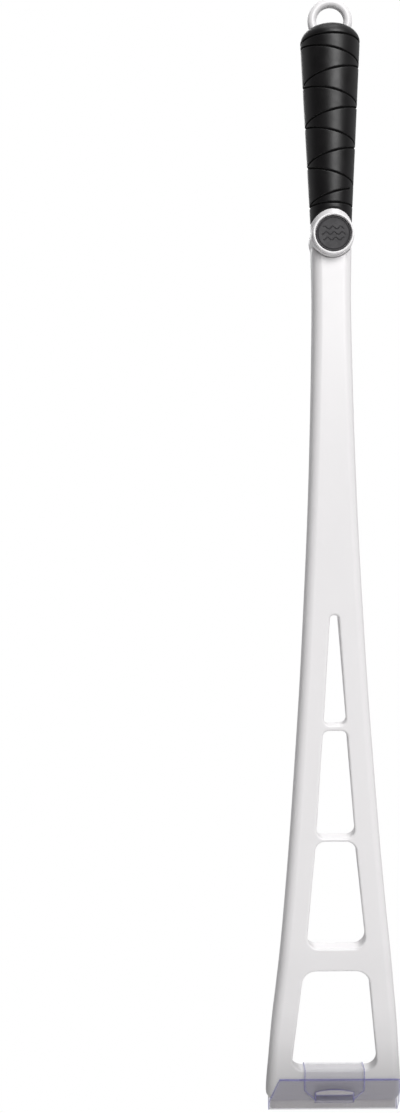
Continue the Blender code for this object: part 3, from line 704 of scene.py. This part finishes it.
def window_cutter(window):
    """Cuts a window through the shaft. Its front edge is rounded, and its sides draw apart behind."""
    rows = [(-12.0, WINDOW_FILLET)]
    for k in range(9):
        a = math.pi / 2 * k / 8
        rows.append((WINDOW_FILLET * (1 - math.cos(a)), WINDOW_FILLET * (1 - math.sin(a))))
    rows.append((30.0, 0.0))
    rings = []
    for deep, grow in rows:
        widen = 1 + WINDOW_DRAFT * max(deep, 0.0) / window[2]
        outline = window_outline(window, grow)
        rings.append([Vector((x * widen, deep - front_depth(z) + lean(z), z)) for x, z in outline])
    return skin(rings)


def window_rim(window):
    """The wall left standing behind the face round a window."""
    outline = window_outline(window, WALL)
    return skin([[Vector((x, y, z)) for x, z in outline] for y in (-BEYOND / 2, BEYOND)])


def shaft_moulding():
    """The white shaft: an open-backed channel that widens into the windowed head, with the rear lug."""
    step = 4.0
    rings = [section(z, 0.0, front_depth(z), depth(z, TOE_BACK), EDGE_RADIUS)
             for z in rows_between(OUTLINE[0][0], OUTLINE[-1][0], step)]
    shaft = raw_object(skin(rings))
    combine(shaft, [barrel()], "UNION")
    inside = [section(z, WALL, front_depth(z) - SKIN, 25.0, EDGE_RADIUS - WALL)
              for z in rows_between(HOLLOW_FOOT, HOLLOW_TOP, step)]
    back = raw_object(skin(inside))
    keep = [window_rim(window) for window in WINDOWS]
    keep += [leaned_box((-BEYOND, -BEYOND, rib - RIB / 2), (BEYOND, BEYOND, rib + RIB / 2)) for rib in RIBS]
    combine(back, keep)
    return combine(shaft, [
        at_knuckle(rod(SHAFT_CLEARANCE, -BEYOND, GAP / 2, 160)),
        back,
        *(window_cutter(window) for window in WINDOWS),
        leaned_box((-SEAT_HALF, SEAT_FACE, 0), (SEAT_HALF, BEYOND, SEAT_TOP)),
        at_knuckle(rod(NUT_POCKET_RADIUS, NUT_POCKET_FLOOR, BEYOND, HEX)),
        at_knuckle(rod(SCREW_HOLE, -BEYOND, BEYOND)),
        at_knuckle(rod(COUNTERBORE_RADIUS, REAR_COUNTERBORE, BEYOND)),
        *(on_head(rod(PILOT_RADIUS, PILOT_FLOOR, BLADE_BACK, 24), x) for _, x in CLAMP_SCREWS),
    ])


# Knuckle pieces


def bezel():
    back = -BARREL_HALF - GAP
    front, floor, tip = back - CAP_PROUD, back - CAP_FLOOR, back + SPIGOT_LENGTH
    rim = [(CAP_INNER, floor), (CAP_INNER + CAP_FLARE, front), (CAP_RADIUS, front), (CAP_RADIUS, back)]
    spigot = [(SPIGOT_OUTER, back), (SPIGOT_OUTER, tip), (SPIGOT_INNER, tip), (SPIGOT_INNER, back)]
    profile = [(0, floor), *rim, *spigot, (0, back)]
    return raw_object(at_knuckle(turned(eased(profile, radius=0.55, steps=6), "Y", 200)))


def inlay():
    """The disc, with a fine ring and three waves sunk into its face."""
    back = -BARREL_HALF - GAP - CAP_FLOOR - GAP
    front = back - INLAY_THICKNESS
    around, along = 220, 110
    rings = []
    for r in np.linspace(DISC_CENTRE, INLAY_RADIUS - DISC_EDGE, along):
        a = np.arange(around) / around * 2 * math.pi
        x, z = r * np.cos(a), r * np.sin(a)
        cut = np.exp(-(((r - DISC_RING_RADIUS) / DISC_RING_HALF) ** 2)) * np.ones(around)
        for k, level in enumerate(WAVE_LEVELS):
            reach = math.sqrt(WAVE_CIRCLE**2 - level**2)
            wave = level + WAVE_SWING * np.sin((x / WAVE_LENGTH + WAVE_SHIFT * k) * 2 * math.pi)
            inside = 1 - smooth(reach - WAVE_FADE, reach, np.abs(x))
            cut = np.maximum(cut, np.exp(-(((z - wave) / WAVE_HALF) ** 2)) * inside)
        rings.append([Vector((px, front + EMBLEM_DEPTH * c, pz)) for px, pz, c in zip(x, z, cut)])
    for t in np.linspace(0, math.pi / 2, 6)[1:]:
        r = INLAY_RADIUS - DISC_EDGE + DISC_EDGE * math.sin(t)
        y = front + DISC_EDGE * (1 - math.cos(t))
        circle = corner(0, 0, r, 0, 360 * (around - 1) / around, around - 1)
        rings.append([Vector((px, y, pz)) for px, pz in circle])
    rings.append([Vector((v.x, back, v.z)) for v in rings[-1]])
    return raw_object(at_knuckle(skin(rings)))


def rear_plug():
    front = BARREL_HALF + GAP
    tip, back = front - SPIGOT_LENGTH, front + PLUG_PROUD
    spigot = [(SPIGOT_INNER, front), (SPIGOT_INNER, tip), (SPIGOT_OUTER, tip), (SPIGOT_OUTER, front)]
    profile = [(0, front), *spigot, (PLUG_RADIUS, front), (PLUG_RADIUS, back), (0, back)]
    return raw_object(at_knuckle(turned(eased(profile, radius=0.5, steps=5), "Y", 180)))


def knuckle_screw():
    screw = raw_object(at_knuckle(turned(eased(KNUCKLE_SCREW_PROFILE, radius=0.4), "Y", 64)))
    return combine(screw, [at_knuckle(rod(SOCKET_RADIUS, -BEYOND / 4, SOCKET_FLOOR, HEX))])


def knuckle_nut():
    nut = raw_object(at_knuckle(rod(NUT_RADIUS, NUT_FRONT, NUT_BACK, HEX)))
    return combine(nut, [at_knuckle(rod(SCREW_HOLE, -BEYOND, BEYOND, 64))])


# Blade and guard


def blade():
    outline = [(BLADE_FRONT, BLADE_FOOT), (BLADE_FRONT + 0.1, BLADE_FOOT), (BLADE_BACK, BLADE_GROUND),
               (BLADE_BACK, BLADE_TOP), (BLADE_FRONT, BLADE_TOP)]
    ends = [[Vector((x, y + lean(z), z)) for y, z in outline] for x in (-BLADE_HALF, BLADE_HALF)]
    holes = [on_head(rod(BLADE_HOLE, DRILL_FRONT, DRILL_BACK, 48), x) for _, x in CLAMP_SCREWS]
    return combine(raw_object(skin(ends)), holes)


def clamp():
    low, high = (-CLAMP_HALF, CLAMP_FRONT, CLAMP_FOOT), (CLAMP_HALF, CLAMP_BACK, CLAMP_TOP)
    bar = raw_object(leaned_box(low, high))
    bevel = bar.modifiers.new("Bevel", "BEVEL")
    bevel.width, bevel.segments = BEVEL, 4
    sunk = COUNTERSINK_START + COUNTERSINK - CLAMP_HOLE
    hole = [(0, 0.0), (CLAMP_HOLE, 0.0), (CLAMP_HOLE, COUNTERSINK_START), (COUNTERSINK, sunk),
            (COUNTERSINK, DRILL_BACK), (0, DRILL_BACK)]
    return combine(bar, [on_head(turned(hole, "Y", 64), x) for _, x in CLAMP_SCREWS])


def clamp_screw(x):
    screw = raw_object(on_head(turned(eased(CLAMP_SCREW_PROFILE, radius=0.12, steps=2), "Y", 64), x))
    cross = []
    for long, short in ((CROSS_LONG, CROSS_SHORT), (CROSS_SHORT, CROSS_LONG)):
        outline = ((-long, -short), (long, -short), (long, short), (-long, short))
        ends = [[Vector((u, w, v)) for u, v in outline] for w in (CROSS_FLOOR, CROSS_TOP)]
        cross.append(on_head(skin(ends), x))
    return combine(screw, cross)


def rounded_path(path, radius, steps=6):
    """A path with its corners rounded."""
    return [Vector(p) for p in eased(path, radius, steps)]


def fine_path(path, step=0.8):
    """The same path with points no further apart than step."""
    points = [Vector(path[0])]
    for here in path[1:]:
        start = points[-1]
        here = Vector(here)
        parts = max(1, math.ceil((here - start).length / step))
        points += [start.lerp(here, k / parts) for k in range(1, parts + 1)]
    return points


def sheet(path, half_width_of, across):
    """A bent sheet round a middle line in (y, z). Its edges and a margin get the second material."""
    last = len(path) - 1
    bm = bmesh.new()
    front, back = [], []
    for k, (y, z) in enumerate(path):
        before, after = Vector(path[max(k - 1, 0)]), Vector(path[min(k + 1, last)])
        ahead = (after - before).normalized()
        side = Vector((-ahead.y, ahead.x)) * SHEET / 2
        left, right = half_width_of(y, z)
        clear_width = right - left - 2 * EDGE_MARGIN
        inner = [left + EDGE_MARGIN + clear_width * c / across for c in range(across + 1)]
        columns = [left, *inner, right]
        for rail, s in ((front, 1), (back, -1)):
            py, pz = y + side.x * s, z + side.y * s
            rail.append([bm.verts.new((x, py + lean(pz), pz)) for x in columns])
    rim = []
    count = len(front[0])
    for rail in (front, back):
        for low, high in zip(rail, rail[1:]):
            for c in range(count - 1):
                face = bm.faces.new((low[c], low[c + 1], high[c + 1], high[c]))
                if c in (0, count - 2):
                    rim.append(face)
    for c in (0, count - 1):
        for (f0, f1), (b0, b1) in zip(zip(front, front[1:]), zip(back, back[1:])):
            rim.append(bm.faces.new((f0[c], f1[c], b1[c], b0[c])))
    for k in (0, -1):
        for c in range(count - 1):
            rim.append(bm.faces.new((front[k][c], front[k][c + 1], back[k][c + 1], back[k][c])))
    for face in rim:
        face.material_index = 1
    return bm


def guard_path():
    middle = (BLADE_FRONT + BLADE_BACK) / 2
    fold = [(middle + y, z + FOLD_RADIUS + SHEET / 2) for y, z in corner(0, 0, FOLD_RADIUS, -145, -35, 12)]
    path = [(GUARD_FRONT, GUARD_FRONT_TOP), (GUARD_FRONT, GUARD_CORNER), *fold, (GUARD_BACK, GUARD_CORNER),
            (GUARD_BACK, GUARD_BACK_TOP)]
    return fine_path(rounded_path(path, radius=0.7, steps=5))


def guard_half_widths(y, z):
    rise = max(0.0, z - GUARD_CORNER) / (GUARD_FRONT_TOP - GUARD_CORNER)
    slant = GUARD_SLANT_TOP * min(rise, 1.0) if y < 0 else 0.0
    return -GUARD_HALF + slant, GUARD_HALF


def tint(bm, test):
    """Gives the edge material to the faces whose middle passes the test."""
    for face in bm.faces:
        middle = face.calc_center_median()
        if test(middle):
            face.material_index = 1


def guard_film():
    """The clear sheet folded over the blade."""
    bm = sheet(guard_path(), guard_half_widths, across=24)
    tint(bm, lambda middle: middle.y < lean(middle.z) and middle.z > GUARD_FRONT_TOP - EDGE_MARGIN)
    return raw_object(bm)


def pocket_lip():
    """The pocket's flap. It bows forward, its top edge is arched, and it is creased below its top. Between
    the crease and the top it is paler: painted light.
    """
    front = TONGUE_FRONT - SHEET - GAP
    crease, top = LIP_CREASE, LIP_TOP
    below, above = LIP_ROWS
    heights = [LIP_FOOT + LIP_RAMP, below, crease - EDGE_MARGIN, crease, above, top - EDGE_MARGIN, top]
    path = [(GUARD_FRONT + LIP_SET_BACK, LIP_FOOT - LIP_DROP), *((front, z) for z in heights)]
    bm = sheet(path, lambda y, z: (-LIP_HALF, LIP_HALF), across=28)
    tint(bm, lambda middle: middle.y < front + lean(middle.z)
         and (middle.z > top - EDGE_MARGIN or crease - EDGE_MARGIN < middle.z < crease))
    # The third material, paler than the sheet, is painted light between the crease and the top edge.
    for face in bm.faces:
        if crease < face.calc_center_median().z < top - EDGE_MARGIN and face.material_index == 0:
            face.material_index = 2
    for vert in bm.verts:
        across = 1 - (vert.co.x / LIP_HALF) ** 2
        rise = max(0.0, vert.co.z - crease) / (top - crease)
        vert.co.z -= rise * LIP_ARCH * (1 - across)
        vert.co.y -= LIP_BOW * across * smooth(LIP_FOOT, top, vert.co.z)
    return raw_object(bm)


def tongue_film():
    """The clear tongue, from the crease over the bar through the window and down the front."""
    over = TONGUE_OVER - TONGUE_TURN
    path = [
        (GUARD_BACK, HINGE_HEIGHT + CREASE_GAP),
        *corner(GUARD_BACK - TONGUE_TURN, over, TONGUE_TURN, 0, 90, 8),
        *corner(TONGUE_FRONT + TONGUE_TURN, over, TONGUE_TURN, 90, 180, 8),
        (TONGUE_FRONT, TONGUE_CHAMFER), (TONGUE_FRONT, TONGUE_END),
    ]

    def half(y, z):
        cut = max(0.0, (TONGUE_CHAMFER - z) / (TONGUE_CHAMFER - TONGUE_END)) if y < 0 else 0.0
        width = TONGUE_HALF + (TONGUE_END_HALF - TONGUE_HALF) * cut
        return -width, width

    return raw_object(sheet(fine_path(path, 0.6), half, across=16))


# The object

white, rubber, charcoal = white_plastic(), black_rubber(), charcoal_rubber()
steel = stainless_steel()
clear = clear_sheet("clear_sheet", colour=(0.27, 0.255, 0.32), alpha=0.24, roughness=0.10)
clear_tongue = clear_sheet("clear_sheet_tongue", colour=(0.36, 0.35, 0.46), alpha=0.08, roughness=0.10)
clear_edge = clear_sheet("clear_sheet_edge", colour=(0.17, 0.165, 0.50), alpha=0.46, roughness=0.15)
# A paler tint of the sheet: painted light on the pocket's flap.
clear_painted_light = clear_sheet("clear_sheet_pocket_painted_light", colour=(0.95, 0.91, 0.90), alpha=0.24, roughness=0.15)

handle_grip = dress(grip(), "grip_rubber", rubber, "black_rubber", "tool", "grip_sleeve", weighted=False)
handle_grip.data.materials.append(groove_painted_shade_rubber())
dress(handle_moulding(), "handle_moulding", white, "white_plastic", "tool", "handle_core")
dress(shaft_moulding(), "shaft_moulding", white, "white_plastic", "tool", "shaft_frame")
dress(bezel(), "knuckle_bezel", white, "white_plastic", "tool", "front_cap")
dress(inlay(), "knuckle_inlay", charcoal, "charcoal_rubber", "tool", "front_inlay", weighted=False)
dress(rear_plug(), "knuckle_plug", white, "white_plastic", "tool", "rear_cap")
dress(knuckle_screw(), "knuckle_bolt", steel, "stainless_steel", "tool", "knuckle_screw")
dress(knuckle_nut(), "knuckle_hex_nut", steel, "stainless_steel", "tool", "knuckle_nut")
dress(blade(), "blade_steel", steel, "stainless_steel", "tool", "scraper_blade")
dress(clamp(), "clamp_bar", white, "white_plastic", "tool", "blade_clamp")
for side_name, screw_x in CLAMP_SCREWS:
    dress(clamp_screw(screw_x), f"clamp_bolt_{side_name}", steel, "stainless_steel", "tool",
          f"clamp_screw_{side_name}")
film = dress(guard_film(), "guard_film", clear, "clear_sheet", "guard", "guard_sleeve", weighted=False)
film.data.materials.append(clear_edge)
lip = dress(pocket_lip(), "guard_pocket_lip", clear_tongue, "clear_sheet", "guard", weighted=False)
lip.data.materials.append(clear_edge)
lip.data.materials.append(clear_painted_light)
tongue = dress(tongue_film(), "guard_tongue_film", clear_tongue, "clear_sheet", "tongue", "guard_tongue",
               weighted=False)
tongue.data.materials.append(clear_edge)
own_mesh(tongue)


# Studio

WORLD_AXIS, WORLD_STRENGTH = (0.12, 1.0, 0.1), 1.0
WORLD_STOPS = ((0.0, 0.05), (0.42, 0.09), (0.60, 0.40), (1.0, 0.48))
LIGHTS = (
    ("key", 17.0, 30.0, 3.0, -0.25, (1.8, 2.2), 42.5, 120.0),
    ("top", 10.0, 80.0, 3.0, -0.30, (1.6, 1.6), 9.0, 120.0),
    ("back", 180.0, 35.0, 3.0, -0.25, (2.0, 2.0), 14.0, 120.0),
)
FLOOR_HEIGHT = -1.9
CAMERA_SIDE, CAMERA_DISTANCE, CAMERA_HEIGHT = -0.066, 0.58, -0.2652
CAMERA_LENS, CAMERA_ROLL = 37.79, 0.35


def area(name, location, target, size, energy, spread):
    light = bpy.data.lights.new(name, "AREA")
    light.shape, (light.size, light.size_y) = "RECTANGLE", size
    light.energy, light.spread = energy, spread
    obj = bpy.data.objects.new(name, light)
    obj.location = location
    obj.rotation_euler = (Vector(target) - Vector(location)).to_track_quat("-Z", "Y").to_euler()
    bpy.context.scene.collection.objects.link(obj)


def studio():
    """White surroundings for the camera alone. The rest is lit by a gradient, brightest behind the tool."""
    scene = bpy.context.scene
    scene.view_settings.view_transform = "Standard"
    world = bpy.data.worlds.new("Studio")
    scene.world = world
    world.use_nodes = True
    tree = world.node_tree
    for node in list(tree.nodes):
        tree.nodes.remove(node)
    seen = tree.nodes.new("ShaderNodeBackground")
    seen.inputs["Color"].default_value = (1, 1, 1, 1)
    seen.inputs["Strength"].default_value = 1.0
    lit = tree.nodes.new("ShaderNodeBackground")
    lit.inputs["Strength"].default_value = WORLD_STRENGTH
    coord = tree.nodes.new("ShaderNodeTexCoord")
    dot = tree.nodes.new("ShaderNodeVectorMath")
    dot.operation = "DOT_PRODUCT"
    dot.inputs[1].default_value = Vector(WORLD_AXIS).normalized()
    tree.links.new(coord.outputs["Generated"], dot.inputs[0])
    spread = tree.nodes.new("ShaderNodeMapRange")
    spread.inputs["From Min"].default_value = -1.0
    tree.links.new(dot.outputs["Value"], spread.inputs["Value"])
    ramp = tree.nodes.new("ShaderNodeValToRGB")
    while len(ramp.color_ramp.elements) < len(WORLD_STOPS):
        ramp.color_ramp.elements.new(0.5)
    for element, (place, level) in zip(ramp.color_ramp.elements, WORLD_STOPS):
        element.position, element.color = place, (level, level, level * 1.01, 1)
    tree.links.new(spread.outputs["Result"], ramp.inputs["Fac"])
    tree.links.new(ramp.outputs["Color"], lit.inputs["Color"])
    path = tree.nodes.new("ShaderNodeLightPath")
    mix = tree.nodes.new("ShaderNodeMixShader")
    tree.links.new(path.outputs["Is Camera Ray"], mix.inputs[0])
    tree.links.new(lit.outputs[0], mix.inputs[1])
    tree.links.new(seen.outputs[0], mix.inputs[2])
    out = tree.nodes.new("ShaderNodeOutputWorld")
    tree.links.new(mix.outputs[0], out.inputs["Surface"])

    for name, azimuth, elevation, distance, target, size, energy, spread in LIGHTS:
        a, e = math.radians(azimuth), math.radians(elevation)
        away = Vector((math.sin(a) * math.cos(e), -math.cos(a) * math.cos(e), math.sin(e)))
        centre = Vector((0, 0, target))
        area(name, centre + away * distance, centre, size, energy, math.radians(spread))

    bpy.ops.mesh.primitive_plane_add(size=5.0, location=(0, 0, FLOOR_HEIGHT))
    floor = bpy.context.object
    floor.name = "floor"
    n = Nodes("pale_floor")
    n.to(
        Base_Color=n.ramp(n.noise(3.0, 3.0), ((0.3, 0.90), (0.7, 0.94))),
        Roughness=0.8,
        Emission_Color=(1.0, 1.0, 1.0),
        Emission_Strength=0.25,
    )
    floor.data.materials.append(n.material)


def camera():
    data = bpy.data.cameras.new("Camera")
    data.sensor_width = 36.0
    data.lens = CAMERA_LENS
    data.clip_start, data.clip_end = 0.01, 50
    obj = bpy.data.objects.new("Camera", data)
    obj.location = (CAMERA_SIDE, -CAMERA_DISTANCE, CAMERA_HEIGHT)
    obj.rotation_euler = (math.radians(90), math.radians(CAMERA_ROLL), 0)
    bpy.context.scene.collection.objects.link(obj)
    bpy.context.scene.camera = obj


studio()
camera()
